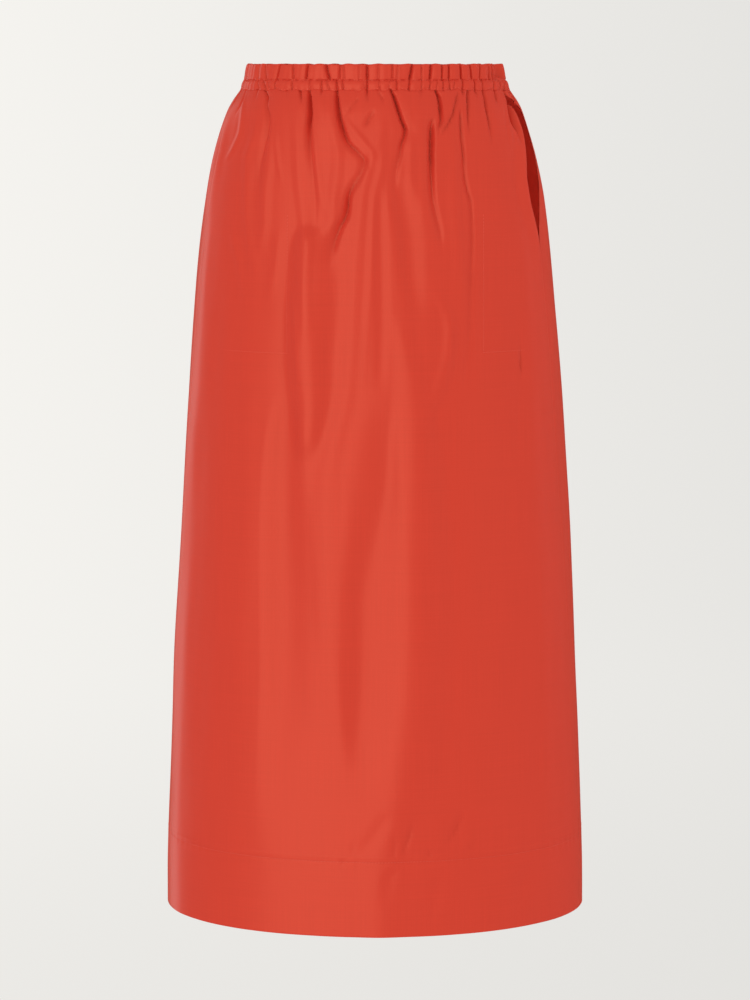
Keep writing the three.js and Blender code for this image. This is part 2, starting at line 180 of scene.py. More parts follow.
FOLDS = {
    "front": [
        [(50, -118, 0, 9), (68, -119, 1.5, 9), (97, -127, 2, 9), (134, -127, 2, 9), (167, -126, 1.6, 9),
         (200, -119, 0.8, 9), (225, -115, 0, 9)],
        [(28, -131, 0.8, 4), (45, -133, 1.5, 5), (66, -135, 1.8, 6), (85, -143, 1.6, 6),
         (102, -152, 0, 6)],
        [(58, -101, 0, 7), (75, -102.5, 1.6, 8), (98, -104.5, 1.8, 8), (131, -108, 1.8, 8),
         (156, -108.5, 1.5, 8), (181, -112, 0.8, 8), (200, -114, 0, 8)],
        [(66, -99, 0, 3.5), (80, -98, 1, 4), (97, -96.5, 1, 4), (112, -93.5, 0.6, 4), (122, -92, 0, 4)],
        [(45, -77, 0, 8), (70, -75.5, 1.5, 8), (108, -74.5, 2.2, 8), (141, -71.5, 2.2, 8),
         (164, -69, 2.4, 8), (181, -65, 2.6, 8), (200, -66.5, 2.2, 8), (222, -67.5, 2, 8),
         (256, -66, 1.6, 9), (290, -72, 0, 9)],
        [(60, -59, 0, 6), (82, -58.5, 1.3, 6), (108, -56.5, 1.6, 6), (134, -52.5, 1.4, 6),
         (147, -49, 0.8, 6), (158, -46, 0, 6)],
        [(30, -45, 0, 6), (50, -44, 1.5, 7), (90, -38, 2.4, 8), (110, -39, 2.4, 8), (131, -42.5, 2.2, 8),
         (156, -43, 2, 8), (166, -53, 1.6, 9), (174, -62, 0.5, 8), (182, -66, 0, 8)],
        [(50, -31, 0, 4), (60, -27, 1.5, 5), (72, -18, 2, 6), (84, -9, 2, 6), (93, -4, 1, 5),
         (102, -3, 0, 5)],
        [(62, 0, 0, 6), (80, -3, 1.5, 7), (105, -9.5, 2.2, 8), (131, -16.5, 2.4, 9), (164, -19.5, 2.2, 9),
         (197, -22.5, 2.0, 10), (234, -24.5, 2.0, 10), (284, -26.5, 2.2, 11), (334, -31.5, 2.2, 11),
         (371, -41, 2.2, 12), (408, -49, 2.4, 14), (446, -52, 2.6, 16), (483, -50.5, 2.4, 16),
         (555, -48.5, 2.2, 15), (613, -45.5, 2, 14), (657, -42.5, 1.2, 14), (700, -40, 0, 14)],
        [(45, 4, 0, 7), (65, 3.5, 1.2, 7), (98, 3.5, 1.6, 7), (131, -3, 1.4, 6), (181, -5.5, 1.2, 6),
         (226, -7.5, 1.1, 6), (272, -11.5, 0.8, 7), (309, -14.5, 0.5, 7), (340, -17, 0, 7)],
        [(66, 36, 0, 6), (82, 34, 1.5, 6), (110, 33.5, 1.4, 7), (131, 34, 0, 7)],
        [(30, 43, 0, 6), (45, 43, 1, 7), (65, 44, 1.5, 8), (108, 47.5, 1.6, 8), (147, 48, 0.6, 8),
         (170, 50, 0, 8)],
        [(30, 79, 0, 3), (45, 76, 1.4, 4), (60, 69, 1.7, 4.5), (72, 61.5, 0, 4)],
        [(70, 75, 0, 9), (90, 76.5, 1.8, 9), (131, 76.5, 2.2, 9), (164, 78.5, 2, 9), (204, 81.5, 1.4, 9),
         (240, 83, 0, 9)],
        [(28, 130, 0, 3), (38, 132.5, 1.5, 3.5), (55, 134.5, 2, 4.5), (72, 137, 1.2, 5), (90, 139, 0, 5)],
        [(160, -144, 0, 7), (182, -141, 1, 8), (206, -134.5, 1.3, 8), (229, -130.5, 0.8, 8),
         (250, -127, 0, 8)],
        [(160, -93, 0, 7), (181, -94.5, 1.2, 8), (206, -97, 1.2, 8), (222, -101, 0.8, 8),
         (240, -104, 0, 8)],
        [(225, -80, 0, 4), (246, -78.5, 0.8, 5), (284, -76, 1, 5), (310, -75, 0.6, 5), (330, -74, 0, 5)],
        [(750, 7, 0, 10), (765, 2, -1.6, 11), (785, -10, -1.8, 12), (800, -18, 0, 10)],
        [(806, 18, 0, 8), (818, 12, -1.6, 10), (835, 8, -1.2, 10), (850, 6, 0, 9)],
        [(812, 62, 0, 8), (832, 60, -1.6, 11), (856, 54, -1.6, 11), (872, 50, 0, 9)],
        [(812, 152, 0, 14), (838, 147, -1.6, 18), (864, 142, 0, 14)],
        [(770, 100, 0, 9), (785, 92, 1.5, 9), (800, 86, 0, 9)],
        [(215, 56, 0, 7), (234, 62, 2, 8), (259, 72, 3.2, 9), (284, 71, 3.4, 9), (316, 63.5, 3, 9),
         (346, 51, 2, 9), (370, 44, 0, 9)],
    ],
    "back": [
        [(60, -104, 0, 10), (110, -106, 2.4, 11), (180, -108, 2, 12), (300, -104, 0, 12)],
        [(50, -68, 0, 10), (100, -70, 2.4, 11), (160, -73, 2.8, 12), (260, -76, 1.8, 13),
         (380, -78, 0, 13)],
        [(60, -24, 0, 10), (130, -18, 2.6, 11), (230, -10, 3, 13), (340, -14, 2.4, 14), (470, -18, 0, 14)],
        [(60, 34, 0, 10), (120, 30, 2.2, 11), (190, 34, 1.8, 12), (260, 36, 0, 12)],
        [(60, 58, 0, 9), (110, 58, 2.2, 10), (190, 61, 2.8, 12), (300, 64, 1.8, 13), (420, 66, 0, 13)],
        [(70, 96, 0, 9), (130, 98, 2, 11), (210, 101, 1.4, 12), (300, 102, 0, 12)],
    ],
    "left": [
        [(70, 30, 0, 12), (130, 34, 2.5, 16), (230, 40, 2, 20), (340, 46, 0, 20)],
        [(240, -6, 0, 20), (380, -10, 3, 28), (560, -4, 3, 30), (760, 0, 0, 30)],
    ],
    "right": [
        [(70, -34, 0, 12), (120, -38, 2.5, 15), (220, -44, 2, 18), (330, -50, 0, 18)],
        [(260, 10, 0, 20), (400, 16, 3, 26), (600, 8, 3, 30), (780, 4, 0, 30)],
    ],
}
# Broad folds with a gentle side and a steeper one: down, across of the crest, rise, width to
# the left of the crest, width to the right.
LEANING_FOLDS = {
    "front": [
        # The long trough left of the middle: a broad lit side and a shaded one.
        [(330, -90, 0, 14, 14), (355, -92, -3, 18, 22), (385, -94, -4.4, 22, 28), (430, -95, -5.6, 25, 32),
         (500, -94.5, -6, 27, 39), (555, -93.5, -5.8, 28, 41), (642, -94, -4.8, 28, 41),
         (685, -96, -3, 28, 36), (735, -100, -1, 26, 28), (800, -102, 0, 24, 24)],
        # The ridge between two dark flanks left of the middle.
        [(158, -70, 0, 10, 12), (174, -70, 5.5, 16, 30), (190, -69.5, 8, 20, 33), (215, -68, 9.5, 24, 34),
         (254, -67.5, 10.5, 28, 33), (285, -67.5, 10.5, 28, 30), (315, -66.5, 9.5, 28, 28),
         (345, -65.5, 8, 25, 23), (375, -68, 5.5, 21, 19), (402, -70, 0, 14, 12)],
        # A bend right of the middle, high up: a dark side and then a broad lit one.
        [(104, 24, 0, 12, 14), (131, 26, -3, 14, 20), (149, 29, -3.9, 16, 24), (174, 33, -3.9, 16, 24),
         (199, 35, -3.6, 16, 22), (224, 38, -3, 15, 20), (245, 42, -1.5, 14, 18), (262, 46, 0, 12, 14)],
        # A shallow trough at the middle.
        [(120, 5, 0, 8, 8), (149, 5.5, -1.2, 9, 9), (199, 6.5, -1.4, 10, 10), (254, 7, -1.4, 10, 11),
         (300, 6, -1, 10, 10), (330, 5, 0, 10, 10)],
        # The broad ridge right of the middle and the trough on its left.
        [(240, 24, 0, 12, 14), (270, 28, 1.6, 14, 16), (310, 36, 2.8, 22, 20), (370, 42, 3.8, 30, 28),
         (420, 44, 4.8, 36, 34), (500, 42, 5.6, 46, 42), (560, 40, 5.8, 50, 46), (640, 38, 5.6, 50, 46),
         (700, 32, 4.6, 46, 44), (750, 20, 3, 38, 36), (800, 10, 1.8, 30, 30), (881, 6, 1.4, 30, 30)],
        [(330, 16, 0, 36, 12), (375, 13, -2.6, 44, 14), (419, 12, -4.2, 45, 18), (456, 5, -5, 38, 26),
         (491, -2, -5.2, 34, 36), (535, -10, -5, 28, 46), (584, -11, -5, 27, 46), (640, -13, -4.6, 25, 46),
         (672, -15, -3.2, 22, 40), (704, -16, -1.4, 20, 34), (726, -15, 0, 20, 30)],
    ],
    "back": [
        [(240, 30, 0, 20, 20), (340, 40, 3, 26, 30), (450, 46, 4.6, 34, 40), (600, 42, 4.6, 44, 40),
         (720, 34, 3, 40, 36), (800, 26, 0, 36, 36)],
        [(300, -100, 0, 16, 12), (400, -104, 3, 24, 16), (560, -108, 3.4, 26, 18),
         (700, -112, 2.4, 24, 18), (800, -114, 0, 20, 16)],
        [(320, -30, 0, 24, 20), (440, -36, 3, 30, 22), (600, -30, 4.4, 40, 26), (720, -24, 2.6, 36, 26),
         (800, -20, 0, 30, 26)],
    ],
}

# ---- Gathers of the waistband ----
# Each crease: across at its top, across at its bottom, and how strong it is.
HEADER_CREASES = {
    "front": [
        (-118, -120, 0.5), (-112, -111, 0.5), (-96, -100, 0.7), (-83, -83, 0.5), (-68, -70, 0.8),
        (-50, -46, 1.0), (-35, -36, 0.5), (-32, -31, 0.3), (-16, -16, 0.25), (-8, -8, 1.0),
        (3.5, 3.5, 0.3), (17.5, 17.5, 0.5), (23, 22, 0.3), (38, 35, 1.0), (47, 47, 0.4),
        (57, 55.5, 0.9), (68, 68, 0.7), (75, 75, 0.8), (87, 88, 1.0), (97, 99, 1.0),
        (107, 107, 0.7), (116, 117, 0.9), (120, 121.5, 1.6), (123, 125, 2.2), (125, 127, 1.4),
    ],
    "back": [
        (-124, -124, 0.8), (-115, -113, 0.5), (-103, -104, 0.9), (-92, -91, 0.4), (-80, -82, 1.0),
        (-67, -66, 0.5), (-55, -53, 0.9), (-41, -42, 0.6), (-27, -25, 1.0), (-14, -15, 0.4),
        (1, 0, 0.7), (14, 13, 1.0), (27, 28, 0.4), (40, 41, 0.9), (52, 50, 0.5), (63, 65, 1.0),
        (78, 77, 0.6), (91, 92, 0.9), (101, 100, 0.5), (112, 113, 0.9), (123, 123, 0.7),
    ],
    "left": [(-16, -15, 0.8), (-2, -3, 0.6), (11, 12, 0.9), (24, 24, 0.5), (36, 37, 0.8), (48, 48, 0.5)],
    "right": [(-47, -47, 0.6), (-34, -35, 0.9), (-21, -20, 0.5), (-9, -9, 0.8), (5, 4, 0.7), (18, 18, 0.9)],
}
CASING_CREASES = {
    "front": [
        (-119, -119, 0.5), (-114, -111, 0.7), (-108.5, -108, 0.3), (-101, -102, 0.6),
        (-84, -84, 0.6), (-66, -66, 0.4), (-54, -54, 0.6), (-49, -46, 0.4), (-39, -38, 0.9),
        (-33, -32, 0.6), (-11, -10, 0.3), (-8, -8, 0.9), (4, 5, 0.4), (15, 14, 0.3),
        (22, 22, 0.7), (35, 34, 0.8), (47, 47, 0.5), (56, 55, 0.6), (63, 62, 0.4),
        (69, 69, 0.7), (75, 76, 0.7), (80.5, 80, 0.4), (89, 89, 0.9), (101, 102, 0.9),
        (109, 110, 0.8), (121, 121, 0.7), (128, 128, 0.6), (133, 132.5, 0.7),
    ],
    "back": [
        (-128, -128, 0.7), (-121, -120, 0.4), (-113, -114, 0.8), (-102, -101, 0.6), (-93, -94, 0.4),
        (-84, -85, 0.9), (-72, -72, 0.7), (-61, -60, 0.4), (-52, -52, 0.9), (-44, -45, 0.4),
        (-36, -37, 0.7), (-22, -22, 0.9), (-15, -14, 0.4), (-6, -6, 0.7), (2, 3, 0.4), (11, 11, 0.9),
        (20, 21, 0.4), (29, 29, 0.7), (43, 43, 0.9), (50, 51, 0.4), (57, 57, 0.7), (66, 65, 0.4),
        (73, 73, 0.9), (82, 83, 0.4), (90, 90, 0.7), (103, 103, 0.9), (111, 110, 0.4),
        (119, 119, 0.7), (128, 129, 0.7),
    ],
    "left": [(-26, -26, 0.6), (-18, -18, 0.8), (-4, -4, 0.8), (4, 4, 0.4), (12, 12, 0.9), (22, 22, 0.4),
             (30, 30, 0.8), (38, 38, 0.4), (46, 46, 0.8)],
    "right": [(-44, -44, 0.8), (-37, -37, 0.4), (-30, -30, 0.8), (-22, -22, 0.4), (-15, -15, 0.9),
              (-6, -6, 0.4), (3, 3, 0.8), (11, 11, 0.4), (17, 17, 0.8)],
}
HEADER_CREASE_DEPTH = 6.0
CASING_CREASE_DEPTH = 4.4
CREASE_HALF = 1.9

# ---- Pocket mouths ----
# Between the depths, the front edge is drawn forward and the back edge drawn back (degrees). The
# front one stands proud and the back one lies sunk (mm). Deep is how far in the bag hangs (mm).
MOUTHS = {
    # side: [(down, forward, backward, proud, sunk, deep)]
    "left": [(28, 0, 0, 0, 0, 2), (38, -1, 9, 0.6, 0.5, 14), (50, -2, 17, 2, 1, 30),
             (70, -0.5, 20, 3.4, 1.5, 42), (98, 2.8, 20, 4, 2, 46), (118, 4.8, 18, 4, 2.5, 42),
             (138, 4.4, 13, 3.6, 3, 30), (158, 2.6, 7.5, 3, 3, 18), (178, 1, 3.5, 2, 2.5, 9),
             (200, 0.3, 1.5, 1, 1, 4), (225, 0, 0, 0, 0, 2)],
    "right": [(30, 0, 0, 0, 0, 2), (50, 0.5, 1, 1.2, 2, 8), (75, 1.5, 1.5, 1.8, 4, 14),
              (95, 2, 1.5, 1.8, 5, 16), (120, 1.0, 1.2, 1.4, 4, 12), (145, 0.4, 0.6, 1, 2, 6),
              (180, 0, 0, 0, 0, 2)],
}


# ---- Smooth tables ----
def along(table, at, level=True):
    """The other columns of a table at values of its first one, on a smooth curve. A level curve
    never passes its own rows' values and starts and ends level."""
    table = np.asarray(table, float)
    at = np.clip(np.asarray(at, float), table[0, 0], table[-1, 0])
    steps = np.diff(table[:, 0])[:, None]
    secants = np.diff(table[:, 1:], axis=0) / steps
    slopes = np.zeros_like(table[:, 1:])
    before, after = secants[:-1], secants[1:]
    if level:
        same_way = before * after > 0
        total = np.where(same_way, before + after, 1)
        slopes[1:-1] = np.where(same_way, 2 * before * after / total, 0)
    else:
        slopes[1:-1] = (before + after) / 2
        slopes[0], slopes[-1] = secants[0], secants[-1]
    i = np.clip(np.searchsorted(table[:, 0], at, side="right") - 1, 0, len(steps) - 1)
    step = steps[i]
    t = ((at - table[i, 0]) / step[..., 0])[..., None]
    low, high = table[i, 1:], table[i + 1, 1:]
    value = (2 * t**3 - 3 * t**2 + 1) * low + (3 * t**2 - 2 * t**3) * high
    value += (t**3 - 2 * t**2 + t) * step * slopes[i] + (t**3 - t**2) * step * slopes[i + 1]
    return np.moveaxis(value, -1, 0)


def eased(value, start, end):
    """0 before start and 1 after end, with a smooth change between them."""
    t = np.clip((value - start) / (end - start), 0, 1)
    return t * t * (3 - 2 * t)


# ---- The plain tube ----
def section_at(down):
    side, front, back, seam = along(SECTIONS, down, level=False)
    return side, front, back, np.radians(seam)


def tube(turn, down):
    """x, y and the outward direction of the plain tube."""
    side, front, back, _ = section_at(down)
    depth = np.where(np.cos(turn) > 0, front, back)
    x = side * np.sin(turn)
    y = -depth * np.cos(turn)
    out_x = depth * np.sin(turn)
    out_y = -side * np.cos(turn)
    size = np.hypot(out_x, out_y)
    return x, y, out_x / size, out_y / size


def place(turn, down, rise):
    """Points on the cloth, in metres, this far out from the plain tube."""
    x, y, out_x, out_y = tube(turn, down)
    z = ORIGIN_DOWN - np.broadcast_to(down, x.shape)
    return np.stack([x + out_x * rise, y + out_y * rise, z], -1) * MM


def turn_of(facing, across, down):
    """The turn of something seen this far to the right of the middle, square on."""
    side, front, back, _ = section_at(down)
    angle = math.radians(FACINGS[facing])
    if facing in ("front", "back"):
        reach = side
    else:
        behind = (across > 0) == (facing == "left")
        reach = np.where(behind, back, front)
    return angle + np.arcsin(np.clip(across / reach, -0.999, 0.999))


def away(turn, down, centre):
    """How far round the cloth a point lies from centre, in mm, positive towards more turn."""
    side, front, back, _ = section_at(down)
    depth = np.where(np.cos(centre) > 0, front, back)
    pace = np.hypot(side * np.cos(centre), depth * np.sin(centre))
    angle = (turn - centre + math.pi) % (2 * math.pi) - math.pi
    return angle * pace


def from_line(turn, down, facing, across):
    """How far round the cloth a point lies from a line drawn across one side of the skirt."""
    return away(turn, down, turn_of(facing, across, down))


def bell(u):
    """1 at 0, falling smoothly to 0 at 1 either way."""
    u = np.clip(np.abs(u), 0, 1)
    return 0.5 + 0.5 * np.cos(np.pi * u)


def keen(u):
    """1 at 0, falling from a sharp point to 0 at 1 either way."""
    u = np.clip(np.abs(u), 0, 1)
    return (1 - u) ** 1.7


# ---- Relief of the panels ----
# A crease reaches this share of its half width to its left and to its right.
CREASE_REACH = (0.95, 0.6)
# Every rise in FOLDS is scaled by this.
FOLD_SCALE = 0.7
# A line in FOLDS is where the fold is lit, this share of its half width beside its crest.
CREST_OFFSET = 0.4
# How far under the waistband's outer face the panels lie.
UNDER_BAND = 0.75


def crease_relief(turn, down):
    """Sharp grooves, each in a faint wider hollow. The deepest are deepened further."""
    total = np.zeros(turn.shape)
    for facing, creases in CREASES.items():
        for stations in creases:
            across, rise, half = along(stations, down)
            inside = (down >= stations[0][0] - 1) & (down <= stations[-1][0])
            distance = from_line(turn, down, facing, across)
            reach = half * np.where(distance < 0, *CREASE_REACH)
            shape = 0.88 * keen(distance / reach) + 0.12 * bell(distance / (2.6 * half))
            deeper = rise * (0.85 + 0.15 * np.abs(rise))
            total += np.where(inside, deeper * shape, 0)
    return total


def fold_relief(turn, down):
    """Round folds, then the broad ones that lean."""
    total = np.zeros(turn.shape)
    for facing, folds in FOLDS.items():
        for stations in folds:
            across, rise, half = along(stations, down)
            lit_line = turn_of(facing, across, down)
            to_crest = CREST_OFFSET * np.clip((np.degrees(lit_line) + 16) / 14, -1, 1)
            distance = away(turn, down, lit_line) - to_crest * half
            shape = 0.65 * bell(distance / (1.2 * half)) + 0.35 * keen(distance / (1.3 * half))
            total += FOLD_SCALE * rise * shape
    for facing, folds in LEANING_FOLDS.items():
        for stations in folds:
            across, rise, left, right = along(stations, down)
            distance = from_line(turn, down, facing, across)
            total += rise * bell(distance / np.where(distance < 0, left, right))
    return total


# A soft unevenness: waves round the skirt, waves down it, height, phase.
UNEVEN = [
    (7, 2.3, 0.45, 0.4), (11, 1.4, 0.35, 2.6), (17, 3.1, 0.22, 4.1), (26, 4.6, 0.12, 1.3),
    (5, 4.2, 0.35, 5.2), (37, 2.2, 0.08, 3.3),
]


def uneven_relief(turn, down):
    total = np.zeros(turn.shape)
    for waves, lengths, height, phase in UNEVEN:
        drift = 0.8 * np.sin(2 * math.pi * lengths * down / LENGTH + phase)
        total += height * np.sin(waves * turn + phase + drift)
    return total * eased(down, 60, 240) * (1 - 0.6 * eased(down, 740, 810))


def hem_relief(turn, down):
    """Tiny bumps along the hem's stitches, and the turned-up edge pressing through above them."""
    ripple = np.sin(41 * turn) * np.sin(59 * turn + 1.3) + 0.5 * np.sin(29 * turn + 0.5)
    bumps = 0.13 * ripple * bell((down - HEM_STITCH) / 10)
    groove = 0.25 * bell((down - HEM_STITCH) / 1.6)
    turned_edge = 0.26 * bell((down - (HEM_STITCH - 4.5)) / 1.3)
    return bumps - groove + turned_edge


# The cloth tucks in under the waistband, puffs out just below it and then follows the tube.
PUFF = [(26, 0.1), (28, 0.5), (31, 0.9), (36, 1.2), (44, 0.9), (60, 0.3), (80, 0)]


def panel_relief(turn, down):
    """How far the panels' outer face stands out from the plain tube."""
    (puff,) = along(PUFF, down)
    own = puff + crease_relief(turn, down) + fold_relief(turn, down) + uneven_relief(turn, down)
    own = own + hem_relief(turn, down)
    under_band = band_relief(turn, np.full(turn.shape, 24.5)) - UNDER_BAND
    _, low = band_outline(turn)
    return under_band + (own - under_band) * eased(down + low, 25.2, 26.9)


# ---- Meshes ----
def mesh_piece(name, points, faces, uvs, material):
    """A smooth mesh object, with places on the flat cloth for its weave."""
    mesh = bpy.data.meshes.new(name)
    mesh.from_pydata(points.reshape(-1, 3).tolist(), [], faces)
    layer = mesh.uv_layers.new(name="Cut")
    corner = np.empty(len(mesh.loops), np.int32)
    mesh.loops.foreach_get("vertex_index", corner)
    layer.uv.foreach_set("vector", uvs[corner].astype(np.float32).ravel())
    mesh.polygons.foreach_set("use_smooth", [True] * len(mesh.polygons))
    mesh.materials.append(material)
    piece = bpy.data.objects.new(name, mesh)
    bpy.context.scene.collection.objects.link(piece)
    return piece


def grid_faces(rows, columns, start=0, flip=False):
    at = start + np.arange(rows * columns).reshape(rows, columns)
    a, b = at[:-1, :-1], at[:-1, 1:]
    c, d = at[1:, 1:], at[1:, :-1]
    order = [a, b, c, d] if flip else [a, d, c, b]
    return np.stack(order, -1).reshape(-1, 4).tolist()


def ring_faces(rows, columns):
    """Faces of a grid that closes on itself both ways. The last row's faces are at the end."""
    at = np.arange(rows * columns).reshape(rows, columns)
    a, b = at, np.roll(at, -1, 1)
    c, d = np.roll(b, -1, 0), np.roll(a, -1, 0)
    return np.stack([a, b, c, d], -1).reshape(-1, 4).tolist()


def shell(name, outer, inner, uv, material):
    """A closed shell between two grids of points of the same size."""
    rows, columns = outer.shape[:2]
    half = rows * columns
    faces = grid_faces(rows, columns) + grid_faces(rows, columns, half, flip=True)
    at = np.arange(half).reshape(rows, columns)
    rim = np.concatenate([at[0, :], at[1:, -1], at[-1, -2::-1], at[-2:0:-1, 0]])
    following = np.roll(rim, -1)
    faces += np.stack([rim, following, following + half, rim + half], -1).tolist()
    points = np.concatenate([outer.reshape(-1, 3), inner.reshape(-1, 3)])
    uvs = np.concatenate([uv.reshape(-1, 2)] * 2)
    return mesh_piece(name, points, faces, uvs, material)


def on_cad(piece, node_name):
    """The piece moves with the body and shows in place of a CAD node."""
    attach(piece, "root")
    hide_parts(node_name)


def stepped(stops):
    """Depths from rows of (down, spacing from there on), the last row being the end."""
    downs = []
    for (start, step), (end, _) in zip(stops[:-1], stops[1:]):
        count = max(1, round((end - start) / step))
        downs += list(np.linspace(start, end, count, endpoint=False))
    return np.array(downs + [stops[-1][0]])


# ---- The panels ----
# Rows: depth, and their spacing from there on.
PANEL_ROWS = [(22.8, 0.75), (28, 1.5), (40, 2.5), (112, 4), (200, 8), (410, 14), (745, 5),
              (797, 1.1), (809, 3), (824, 10), (LENGTH - 6, 2), (LENGTH, 0)]
PANEL_COLUMNS = 300
# Shares of a panel's half width that its turned-in seam edges take.
EDGE_SHARES = np.array([0, 0.0012, 0.003, 0.006, 0.011])
# Of the half width, what the seam edges' last rounding takes, and how far it turns in (mm).
EDGE_SHARE = 0.009
EDGE_TURN_IN = 0.12
# Rows that round off the folded hem, a step of so many degrees apart.
HEM_ROUND = 3
HEM_ROUND_STEP = 25
# A panel's mean radius, for the weave, as a share of its half width.
ROUND_SHARE = 0.9

# The cuts, as flat cloth in metres: width, length and area.
PANEL_CUTS = {"front": (0.576, 0.855, 0.430), "back": (0.652, 0.855, 0.535)}


def panel_shares():
    inner = np.linspace(-1 + 0.016, 1 - 0.016, PANEL_COLUMNS)
    return np.concatenate([-1 + EDGE_SHARES, inner, 1 - EDGE_SHARES[::-1]])


def edge_relief(shares):
    """How far a panel's side edges turn in, where they go into the seam."""
    return EDGE_TURN_IN * (1 - eased(1 - np.abs(shares), 0, EDGE_SHARE))


def panel_grid(facing):
    """Depths, shares of the half width, and turns of a panel's grid."""
    rows = stepped(PANEL_ROWS)[:, None]
    shares = panel_shares()[None, :]
    side, front, _, seam = section_at(rows)
    gap = SEAM_GAP / 2 / np.hypot(side * np.cos(seam), front * np.sin(seam))
    if facing == "front":
        middle, reach = TURNED, seam - gap
    else:
        middle, reach = TURNED + math.pi, math.pi - seam - gap
    turn = middle + shares * reach
    return rows, shares, turn


# The shares of a panel's half width between which a mouth moves it: from where on the cloth is
# drawn along, and from where on it stands proud or lies sunk.
FRONT_DRAWN, FRONT_PROUD = 0.72, 0.86
BACK_DRAWN, BACK_SUNK = 0.5, 0.9


def panel_surface(facing):
    """Depths, turn and rise of a panel's outer face, with its edges moved by the mouths."""
    rows, shares, turn = panel_grid(facing)
    down = np.broadcast_to(rows, turn.shape)
    moved = np.zeros(turn.shape)
    for side, sign in (("left", 1), ("right", -1)):
        forward, backward, proud, sunk, _ = along(MOUTHS[side], rows)
        if facing == "front":
            turn = turn - sign * np.radians(forward) * eased(shares * sign, FRONT_DRAWN, 1.0)
            moved = moved + proud * eased(shares * sign, FRONT_PROUD, 1.0) ** 1.5
        else:
            # Round the back, the wearer's left comes at the low shares.
            turn = turn + sign * np.radians(backward) * eased(-shares * sign, BACK_DRAWN, 1.0)
            moved = moved - sunk * eased(-shares * sign, BACK_SUNK, 1.0)
    return down, turn, panel_relief(turn, down) + moved - edge_relief(shares)


def panel_piece(facing, material):
    """A panel as a thin shell, thicker where the hem is turned up and rounded at its fold."""
    down, turn, rise = panel_surface(facing)
    thickness = np.where(down >= HEM_STITCH - 2, HEM_THICKNESS, CLOTH)
    outer = [place(turn, down, rise)]
    inner = [place(turn, down, rise - thickness)]
    radius = HEM_THICKNESS / 2
    for step in range(1, HEM_ROUND + 1):
        angle = math.radians(HEM_ROUND_STEP * step)
        low = down[-1:] + radius * math.sin(angle)
        inward = radius * (1 - math.cos(angle))
        outer.append(place(turn[-1:], low, rise[-1:] - inward))
        inner.append(place(turn[-1:], low, rise[-1:] - HEM_THICKNESS + inward))
    side, _, _, _ = section_at(down)
    uv = np.stack([turn * side * ROUND_SHARE, -down], -1) * MM
    uv = np.concatenate([uv] + [uv[-1:]] * HEM_ROUND)
    name = facing + "_panel"
    piece = shell(name + "_cloth", np.concatenate(outer), np.concatenate(inner), uv, material)
    on_cad(piece, name)


# ---- The waistband ----
BAND_COLUMNS = 1080
# Rows of the strip, from its lower edge up the outside, over the top and down the inside:
# down, and how far it lies inside the outer face.
BAND_LOOP = np.array([
    (26.2, 1.3), (26.3, 0.6), (26.1, 0.1), (25.6, -0.15), (24.8, -0.2), (23.5, 0), (22.3, 0), (21, 0),
    (19.8, 0), (18.6, 0), (17.5, 0), (16.4, 0), (16, 0), (15.6, 0), (15, 0), (14, 0), (12.5, 0), (11, 0),
    (9.5, 0), (8, 0), (6.5, 0), (5, 0), (3.5, 0), (2.2, 0), (1.2, 0.03), (0.6, 0.12), (0.2, 0.3),
    (0, 0.55), (0.2, 0.8), (0.6, 1.0), (1.2, 1.1), (3, 1.1), (6, 1.1), (9, 1.1), (12, 1.1), (14.5, 1.3),
    (16, 2.2), (17.5, 3.4), (18.6, 3.9), (21, 3.9), (23.5, 3.9), (24.8, 3.9), (25.6, 3.8), (26, 3.6),
    (25.6, 3.4), (24.8, 3.4), (23.5, 3.4), (21, 3.4), (18.6, 3.4), (17.5, 2.6), (16.6, 1.6), (17.5, 0.6),
    (18.6, 0.4), (21, 0.4), (23.5, 0.4), (24.8, 0.45), (25.4, 0.5), (25.9, 1.1),
])
# The elastic's section inside the casing, told the same way.
ELASTIC_LOOP = np.array([
    (24.8, 1.7), (23.5, 1.6), (21, 1.6), (18.6, 1.7), (18.6, 2.4), (21, 2.5), (23.5, 2.5), (24.8, 2.4),
])
STITCH_ROWS = (16, 25)


def gathers(creases, turn, down, share, narrow, widening, hollow):
    """Sharp grooves, each in a hollow. share is how far down from top to bottom a point lies."""
    total = np.zeros(turn.shape)
    for facing in FACINGS:
        for top, bottom, strength in creases[facing]:
            distance = from_line(turn, down, facing, top + (bottom - top) * share)
            half = CREASE_HALF * (narrow + widening * strength)
            total -= strength * (keen(distance / half) + 0.2 * bell(distance / hollow))
    return total


def band_crease_relief(turn, down):
    """The gathers in the frill (header) and in the casing, which meet at the upper stitches."""
    in_frill = np.clip(down / FRILL, 0, 1)
    in_casing = np.clip((down - FRILL) / (WAIST_SEAM - FRILL), 0, 1)
    header = gathers(HEADER_CREASES, turn, down, in_frill, 0.8, 0.4, 7)
    casing = gathers(CASING_CREASES, turn, down, in_casing, 0.7, 0.3, 6)
    header_share = HEADER_CREASE_DEPTH * (1 - eased(down, 13.5, 17.5))
    return header_share * header + CASING_CREASE_DEPTH * eased(down, 14.5, 18) * casing


# A pleat at the frill's right end, behind its last gather: where (degrees) and how deep.
FRILL_PLEAT_TURN = 70.5
FRILL_PLEAT_DEPTH = 9


def frill_pleat(turn, down):
    arc = away(turn, down, math.radians(FRILL_PLEAT_TURN))
    return FRILL_PLEAT_DEPTH * eased(arc, -5, 0) * (1 - eased(arc, 23, 32)) * (1 - eased(down, 13, 17))


